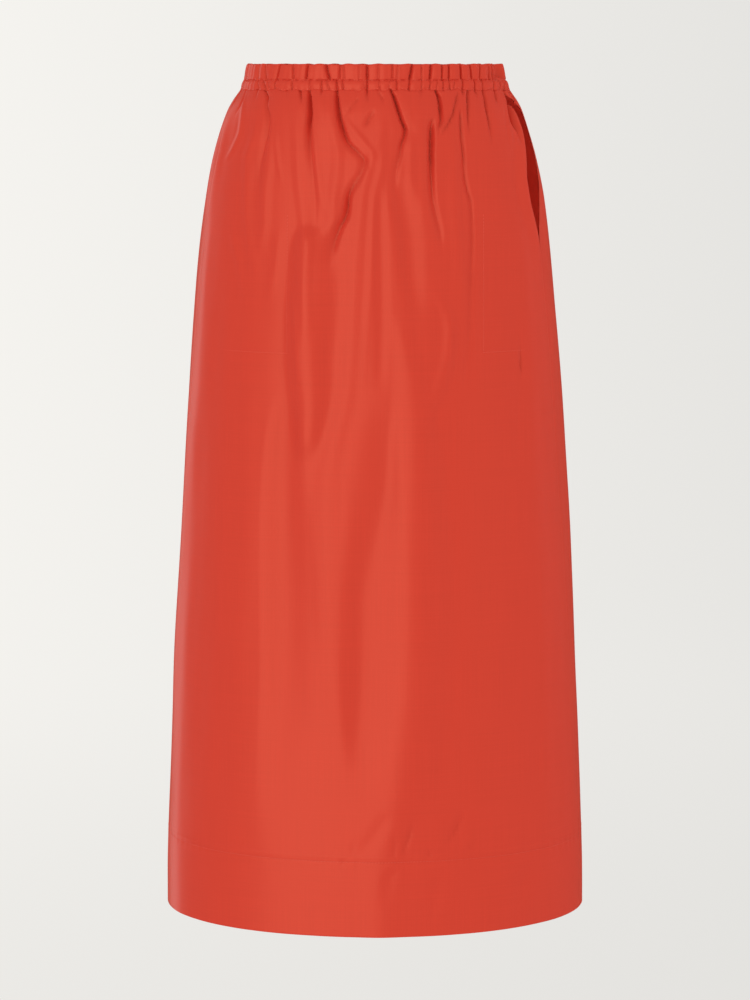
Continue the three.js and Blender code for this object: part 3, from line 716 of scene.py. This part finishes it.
def band_relief(turn, down):
    """How far the waistband's outer face stands out from the plain tube."""
    puff = 0.7 * bell((down - 20.5) / 5) + 0.4 * bell((down - 6) / 9)
    broken = 0.6 + 0.4 * np.sin(37 * turn + 0.5) * np.sin(23 * turn + 1.9) + 0.3 * np.sin(97 * turn)
    groove = 2.4 * np.clip(broken, 0.1, 1.2) * keen((down - STITCH_ROWS[0]) / 1.4)
    groove = groove + 0.7 * (1.3 - broken) * keen((down - STITCH_ROWS[1]) / 1.2)
    ripple = 0.25 * np.sin(61 * turn + 0.7) * np.sin(47 * turn + 2)
    return 0.5 + puff - groove + ripple + band_crease_relief(turn, down) - frill_pleat(turn, down)


# Where the gathers push the band's lower edge up: across, how far up, half width.
BAND_JAGS = [(-11.5, 1.8, 4), (14.5, 2.0, 4.5), (84, 1.8, 4), (90, 1.2, 3), (-101, 1.2, 4), (-63, 1.0, 4)]


def band_outline(turn):
    """The frill's top edge and the lower seam are not quite level: mm up at each turn."""
    top = 0.35 * np.sin(29 * turn + 1) + 0.25 * np.sin(53 * turn)
    low = 0.5 * np.sin(31 * turn + 2) + 0.35 * np.sin(71 * turn + 0.4)
    for across, up, half in BAND_JAGS:
        centre = turn_of("front", across, WAIST_SEAM)
        low = low + up * bell(away(turn, WAIST_SEAM, centre) / half)
    return top, low


def band_level(turn, down):
    """The real depth of a point on the band, whose edges aren't quite level."""
    top, low = band_outline(turn)
    return down - top * (1 - eased(down, 0, 8)) - low * eased(down, 21, 26)


def band_ring(name, loop, lengths, material):
    """A closed section carried round the waist along the gathers. lengths place the weave."""
    turn = np.linspace(-math.pi, math.pi, BAND_COLUMNS, endpoint=False)[None, :]
    down = np.broadcast_to(loop[:, :1], (len(loop), BAND_COLUMNS))
    turn = np.broadcast_to(turn, down.shape)
    points = place(turn, band_level(turn, down), band_relief(turn, down) - loop[:, 1:])
    v = np.broadcast_to(lengths[:, None] * MM, down.shape)
    uvs = np.stack([turn * WAIST_RADIUS * MM, v], -1).reshape(-1, 2)
    return mesh_piece(name, points, ring_faces(*down.shape), uvs, material)


def waistband_piece(material):
    """The folded strip: the frill above and the casing below."""
    lengths = np.cumsum(np.abs(np.diff(BAND_LOOP[:, 0], prepend=BAND_LOOP[0, 0])))
    piece = band_ring("waistband_cloth", BAND_LOOP, lengths, material)
    on_cad(piece, "waistband")


def elastic_piece(material):
    """The elastic in the casing, drawn up into the same gathers."""
    piece = band_ring("elastic_webbing", ELASTIC_LOOP, ELASTIC_LOOP[:, 0], material)
    on_cad(piece, "elastic")


# ---- Pocket bags ----
BAG_BOTTOM = 289
BAG_ROWS = [(25.2, 1.5), (46, 3), (200, 8), (270, 4), (BAG_BOTTOM, 0)]
BAG_COLUMNS = 90
# Where each bag's inner edge lies, across the front.
BAGS = {"left": 109.5, "right": -88}
# How far behind the panels' outer face a bag lies, and how far its layers part inside it.
BAG_BEHIND = 1.6
BAG_PARTED = 1.8
# The rear layer bulges back behind the back panel's edge: how far round, about which share of
# the bag's width, over what half width, and how deep (mm) a bag is that bulges fully.
BULGE_TURN = math.radians(13)
BULGE_AT, BULGE_HALF = 0.91, 0.1
BULGE_FULL = 38
# Shares of a bag's width: from where its slack runs out, and from where it is sewn to the panel.
SLACK_END = 0.88
SEWN_FROM = 0.93


def bag_layers(side):
    """Depths, and the turn and rise of a bag's two layers. The front one lies flat behind the
    front panel. The rear one hangs slack and runs on across the mouth to the back panel."""
    sign = 1 if side == "left" else -1
    rows = stepped(BAG_ROWS)[:, None]
    share = np.linspace(0, 1, BAG_COLUMNS)[None, :]
    forward, backward, _, sinks, deep = along(MOUTHS[side], rows)
    _, _, _, seam = section_at(rows)
    edge = TURNED + sign * seam
    inner_edge = turn_of("front", BAGS[side], rows)
    front_end = edge - sign * np.radians(np.maximum(forward, 0) + 0.4)
    rear_end = edge + sign * np.radians(backward + 0.6)
    bulge = np.minimum(deep / BULGE_FULL, 1) * bell((share - BULGE_AT) / BULGE_HALF)
    front_turn = inner_edge + share * (front_end - inner_edge)
    rear_turn = inner_edge + share * (rear_end - inner_edge) + sign * BULGE_TURN * bulge
    down = np.broadcast_to(rows, front_turn.shape)
    # The layers meet at the bag's inner edge and bottom.
    part = eased(share, 0, 0.12) * (1 - eased(down, BAG_BOTTOM - 14, BAG_BOTTOM))
    behind = BAG_BEHIND + 0.3 * part
    near_end = eased(share, SLACK_END, 1.0)
    hollow = deep * eased(share, 0.3, 0.6) * (1 - 0.2 * eased(share, 0.6, SLACK_END)) * (1 - near_end)
    sewn = eased(share, SEWN_FROM, 1.0)
    sunk = hollow + sinks * near_end + BAG_PARTED * part * (1 - sewn)
    front_rise = panel_relief(front_turn, down) - behind
    rear_rise = panel_relief(rear_turn, down) - sunk - (behind + 0.5) * (1 - sewn)
    rear_rise = rear_rise - (CLOTH + 0.7) * sewn
    return down, (front_turn, front_rise), (rear_turn, rear_rise)


def bag_piece(side, material):
    """Both layers of a pocket's bag, as thin shells in one piece."""
    name = "pocket_bag_" + side
    down, front, rear = bag_layers(side)
    uv = np.stack([front[0] * HIP_RADIUS * MM, -down * MM], -1)
    layers = []
    for turn, rise in (front, rear):
        outer = place(turn, down, rise)
        inner = place(turn, down, rise - CLOTH)
        layers.append(shell(name, outer, inner, uv, material))
    piece = joined(name + "_cloth", layers)
    on_cad(piece, name)


def joined(name, parts):
    """Several mesh objects as one."""
    first = parts[0]
    with bpy.context.temp_override(active_object=first, selected_editable_objects=parts,
                                   selected_objects=parts):
        bpy.ops.object.join()
    first.name = name
    first.data.name = name
    return first


# ---- Materials ----
def set_inputs(tree, made, inputs):
    """Give a node's inputs their values, or link them to other nodes' outputs."""
    for key, value in inputs.items():
        if isinstance(value, bpy.types.NodeSocket):
            tree.links.new(value, made.inputs[key])
        else:
            made.inputs[key].default_value = value


def node(tree, kind, inputs=None, **settings):
    made = tree.nodes.new("ShaderNode" + kind)
    for key, value in settings.items():
        setattr(made, key, value)
    set_inputs(tree, made, inputs or {})
    return made


def new_material(name):
    """A material with nodes, its tree and its shader."""
    material = bpy.data.materials.new(name)
    material.use_nodes = True
    tree = material.node_tree
    return material, tree, tree.nodes["Principled BSDF"]


def two_tones(tree, colour, darker, lighter, factor):
    """A colour that goes from a darker to a lighter tone with another node's output."""
    tones = {"A": (*[c * darker for c in colour], 1), "B": (*[min(1, c * lighter) for c in colour], 1)}
    return node(tree, "Mix", {**tones, "Factor": factor}, data_type="RGBA").outputs["Result"]


def bumpy(tree, height, strength, distance):
    inputs = {"Strength": strength, "Distance": distance, "Height": height}
    return node(tree, "Bump", inputs).outputs["Normal"]


CLOTH_COLOUR = (0.643, 0.0465, 0.026)
THREAD_COLOUR = (0.80, 0.10, 0.06)
ELASTIC_COLOUR = (0.86, 0.84, 0.80)


def cloth_material():
    """A crisp plain weave: fine crossing threads, a few heavier ones, and a soft gloss."""
    material, tree, shader = new_material("woven_cloth")
    uv = node(tree, "UVMap", uv_map="Cut").outputs["UV"]
    # Threads that run down and across, 0.4 mm apart.
    threads = []
    for direction in ("X", "Y"):
        inputs = {"Vector": uv, "Scale": 800, "Distortion": 0.6, "Detail": 1}
        threads.append(node(tree, "TexWave", inputs, bands_direction=direction).outputs["Fac"])
    weave = node(tree, "Math", dict(enumerate(threads)), operation="MULTIPLY")
    # Heavier and lighter threads, as long faint streaks both ways.
    streaks = []
    for stretch in ((900, 12, 1), (12, 900, 1)):
        stretched = node(tree, "Mapping", {"Vector": uv, "Scale": stretch}).outputs["Vector"]
        inputs = {"Vector": stretched, "Scale": 1, "Detail": 2}
        streaks.append(node(tree, "TexNoise", inputs).outputs["Fac"])
    both = node(tree, "Math", dict(enumerate(streaks)), operation="ADD").outputs[0]
    ramp = node(tree, "MapRange", {"Value": both, "From Min": 0.6, "From Max": 1.4})
    height = node(tree, "Math", {0: weave.outputs[0], 1: 0.5, 2: both}, operation="MULTIPLY_ADD")
    set_inputs(tree, shader, {
        "Base Color": two_tones(tree, CLOTH_COLOUR, 0.965, 1.035, ramp.outputs["Result"]),
        "Normal": bumpy(tree, height.outputs[0], 0.12, 0.0002),
        "Roughness": 0.32,
        "Specular IOR Level": 1.0,
        "Specular Tint": (1.0, 0.36, 0.22, 1),
        "Sheen Weight": 0.45,
        "Sheen Roughness": 0.45,
        "Sheen Tint": (1.0, 0.14, 0.09, 1),
    })
    return material


def thread_material():
    """Sewing thread, a little lighter than the cloth."""
    material, tree, shader = new_material("thread")
    place_on = node(tree, "TexCoord").outputs["Object"]
    noise = node(tree, "TexNoise", {"Vector": place_on, "Scale": 400}).outputs["Fac"]
    colour = two_tones(tree, THREAD_COLOUR, 0.9, 1.1, noise)
    set_inputs(tree, shader, {"Base Color": colour, "Roughness": 0.5})
    return material


def elastic_material():
    """Ribbed elastic webbing: cords that run round the waist, 1 mm apart."""
    material, tree, shader = new_material("elastic_webbing")
    place_on = node(tree, "TexCoord").outputs["Object"]
    ribs = node(tree, "TexWave", {"Vector": place_on, "Scale": 300}, bands_direction="Z").outputs["Fac"]
    colour = two_tones(tree, ELASTIC_COLOUR, 0.85, 1, ribs)
    normal = bumpy(tree, ribs, 0.4, 0.0003)
    set_inputs(tree, shader, {"Base Color": colour, "Normal": normal, "Roughness": 0.8})
    return material


# ---- Stitches ----
STITCH_PITCH = 3.3
STITCH_LENGTH = 2.1
# How far a stitch's middle lifts off the cloth.
STITCH_LIFT = 0.18
THREAD = 0.42
# Where the pocket bags' stitching starts, and points along each of its two lines.
POCKET_STITCH_TOP = 150
LINE_POINTS = 200


def stitch_mesh(name, centres, directions, normals, material):
    """Small rounded threads that lie on the cloth, all in one mesh."""
    rings, sides = 5, 6
    t = np.linspace(-1, 1, rings)
    fat = np.sqrt(np.clip(1 - (0.92 * t) ** 4, 0.02, 1))
    lift = STITCH_LIFT * (1 - t**2)
    angle = 2 * math.pi * np.arange(sides) / sides
    sideways = np.cross(normals, directions)
    ring = (np.cos(angle)[None, None, :, None] * sideways[:, None, None, :]
            + np.sin(angle)[None, None, :, None] * normals[:, None, None, :])
    spine = (centres[:, None, :] + (t * STITCH_LENGTH / 2 * MM)[None, :, None] * directions[:, None, :]
             + (lift * MM)[None, :, None] * normals[:, None, :])
    points = spine[:, :, None, :] + ring * (fat * THREAD / 2 * MM)[None, :, None, None]
    count = len(centres)
    base = np.arange(count)[:, None, None, None] * rings * sides
    i = np.arange(rings - 1)[None, :, None, None]
    j = np.arange(sides)[None, None, :, None]
    k = (j + 1) % sides
    quads = np.concatenate([base + i * sides + j, base + i * sides + k,
                            base + (i + 1) * sides + k, base + (i + 1) * sides + j], -1)
    faces = quads.reshape(-1, 4).tolist()
    for end, order in ((0, range(sides - 1, -1, -1)), (rings - 1, range(sides))):
        caps = base[:, 0, 0, 0][:, None] + end * sides + np.array(list(order))[None, :]
        faces += caps.tolist()
    uvs = np.zeros((count * rings * sides, 2))
    piece = mesh_piece(name, points, faces, uvs, material)
    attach(piece, "root")


def stitch_row(name, turn, down, rise, material):
    """Stitches along a line on the cloth, a pitch apart."""
    points = place(turn, down, rise)
    outward = place(turn, down, rise + 1) - points
    steps = np.linalg.norm(np.diff(points, axis=0), axis=1)
    length = np.concatenate([[0], np.cumsum(steps)])
    pitch = STITCH_PITCH * MM
    at = np.arange(pitch / 2, length[-1], pitch)

    def sampled(values, places):
        return np.stack([np.interp(places, length, values[:, k]) for k in range(3)], -1)

    heading = sampled(points, at + pitch * 0.2) - sampled(points, at - pitch * 0.2)
    heading /= np.maximum(np.linalg.norm(heading, axis=1, keepdims=True), 1e-9)
    normal = sampled(outward, at)
    normal -= heading * np.sum(normal * heading, 1, keepdims=True)
    normal /= np.linalg.norm(normal, axis=1, keepdims=True)
    stitch_mesh(name, sampled(points, at), heading, normal, material)


def all_stitches(material):
    """Two rows on the band, one at the hem, and the bags' inner edges and bottoms."""
    turn = np.linspace(-math.pi, math.pi, 2400)
    for number, row in enumerate(STITCH_ROWS):
        down = np.full(turn.shape, float(row))
        rise = band_relief(turn, down) + 0.1
        stitch_row(f"band_stitches_{number + 1}", turn, band_level(turn, down), rise, material)
    down = np.full(turn.shape, float(HEM_STITCH))
    stitch_row("hem_stitches", turn, down, panel_relief(turn, down) + 0.1, material)
    for side, across in BAGS.items():
        sign = 1 if side == "left" else -1
        inner_down = np.linspace(POCKET_STITCH_TOP, BAG_BOTTOM, LINE_POINTS)
        inner_turn = turn_of("front", across, inner_down)
        _, _, _, seam = section_at(BAG_BOTTOM)
        bottom_turn = np.linspace(inner_turn[-1], TURNED + sign * (seam - 0.01), LINE_POINTS)
        turn = np.concatenate([inner_turn, bottom_turn[1:]])
        down = np.concatenate([inner_down, np.full(LINE_POINTS - 1, float(BAG_BOTTOM))])
        # The stitches sink into the cloth towards the side seam.
        sunk = 0.04 + 0.4 * eased(np.arange(len(turn)), 260, 330)
        stitch_row(f"pocket_stitches_{side}", turn, down, panel_relief(turn, down) - sunk, material)


# ---- Stage, lights and camera, in metres ----
FLOOR_Z = -1.45
BOWL_FLOOR, BOWL_WALL, BOWL_HEIGHT = 5.5, 8.0, 7.0


def backdrop_material():
    """A pale glowing backdrop with painted light: brighter on the left, where the lamp stands, and a
    painted shadow that dims it near the skirt, so it is brighter far off.
    """
    material, tree, shader = new_material("backdrop")
    tree.nodes.remove(shader)
    place_on = node(tree, "TexCoord").outputs["Object"]
    split = node(tree, "SeparateXYZ", {"Vector": place_on})
    # Painted light: the glow's colour goes from brighter on the left, where the lamp stands, to dimmer on
    # the right.
    across = node(tree, "MapRange", {"Value": split.outputs["X"], "From Min": -1.3, "From Max": 1.3})
    tones = {"A": (0.915, 0.900, 0.865, 1), "B": (0.785, 0.775, 0.750, 1)}
    painted_light_tone = node(tree, "Mix", {**tones, "Factor": across.outputs["Result"]}, data_type="RGBA")
    # Painted shadow: the glow is dimmer near the middle, under the skirt, and full far off.
    distance = node(tree, "VectorMath", {0: place_on}, operation="LENGTH").outputs["Value"]
    inputs = {"Value": distance, "From Min": 1.8, "From Max": 5.0, "To Min": 0.94}
    strength = node(tree, "MapRange", inputs, interpolation_type="SMOOTHSTEP").outputs["Result"]
    emission = node(tree, "Emission", {"Color": painted_light_tone.outputs["Result"], "Strength": strength})
    set_inputs(tree, tree.nodes["Material Output"], {"Surface": emission.outputs["Emission"]})
    return material


def backdrop():
    """A round sweep: a flat floor that curves up into a wall all round."""
    curve = [(0.0, 0.0), (BOWL_FLOOR, 0.0)]
    radius = BOWL_WALL - BOWL_FLOOR
    for step in range(1, 13):
        angle = math.radians(90 * step / 12)
        curve.append((BOWL_FLOOR + radius * math.sin(angle), radius * (1 - math.cos(angle))))
    curve.append((BOWL_WALL, BOWL_HEIGHT))
    sides = 96
    points = []
    for distance, height in curve:
        for side in range(sides):
            angle = 2 * math.pi * side / sides
            points.append((distance * math.cos(angle), distance * math.sin(angle), FLOOR_Z + height))
    points = np.array(points)
    faces = ring_faces(len(curve), sides)[:-sides]
    floor = mesh_piece("backdrop", points, faces, points[:, :2], backdrop_material())
    floor.visible_diffuse = False
    floor.visible_glossy = False
    floor.visible_shadow = False


# The lights all stand this far out and point at this height, the skirt's middle.
LIGHT_DISTANCE = 4.0
LIGHT_AIM = -0.42


def softbox(name, azimuth, elevation, width, height, power, glossy=True):
    """An upright area light. Azimuth 0 is where the camera stands, positive to its right."""
    lamp = bpy.data.lights.new(name, "AREA")
    lamp.shape = "RECTANGLE"
    lamp.size = width
    lamp.size_y = height
    lamp.energy = power
    lamp_object = bpy.data.objects.new(name, lamp)
    bpy.context.scene.collection.objects.link(lamp_object)
    a, e = math.radians(azimuth), math.radians(elevation)
    where = np.array([math.sin(a) * math.cos(e), -math.cos(a) * math.cos(e), math.sin(e)])
    lamp_object.location = where * LIGHT_DISTANCE + [0, 0, LIGHT_AIM]
    lamp_object.rotation_euler = (math.radians(90) - e, 0, a)
    lamp_object.visible_glossy = glossy
    lamp_object.visible_camera = False


def light_room():
    """A pale room, a big soft light on the left, and weaker ones on the right and behind."""
    world = bpy.data.worlds.new("room")
    bpy.context.scene.world = world
    world.use_nodes = True
    background = world.node_tree.nodes["Background"]
    background.inputs["Color"].default_value = (1.0, 0.99, 0.975, 1)
    background.inputs["Strength"].default_value = 0.885
    world.cycles_visibility.glossy = False
    softbox("key", -25, 4, 4.0, 4.4, 49)
    softbox("fill", 56, 8, 2.0, 2.6, 10, glossy=False)
    softbox("rim", 118, 8, 2.0, 2.6, 27, glossy=False)
    softbox("edge", -136, 0, 1.6, 4.0, 15)


# Distance in metres, tilt in degrees, and focal length in millimetres.
CAMERA_DISTANCE = 3.6
CAMERA_TILT = 7.185
CAMERA_LENS = 124.5


def camera():
    """A long lens straight in front, at the height of the waist and tilted down."""
    data = bpy.data.cameras.new("camera")
    data.sensor_fit = "AUTO"
    data.sensor_width = 36
    data.lens = CAMERA_LENS
    made = bpy.data.objects.new("camera", data)
    bpy.context.scene.collection.objects.link(made)
    made.location = (0, -CAMERA_DISTANCE, ORIGIN_DOWN * MM)
    made.rotation_euler = (math.radians(90 - CAMERA_TILT), 0, 0)
    bpy.context.scene.camera = made


def main():
    camera()
    cloth = cloth_material()
    for facing in PANEL_CUTS:
        panel_piece(facing, cloth)
    waistband_piece(cloth)
    for side in BAGS:
        bag_piece(side, cloth)
    all_stitches(thread_material())
    elastic_piece(elastic_material())
    backdrop()
    light_room()
    scene = bpy.context.scene
    scene.view_settings.view_transform = "Standard"
    scene.view_settings.look = "None"


main()
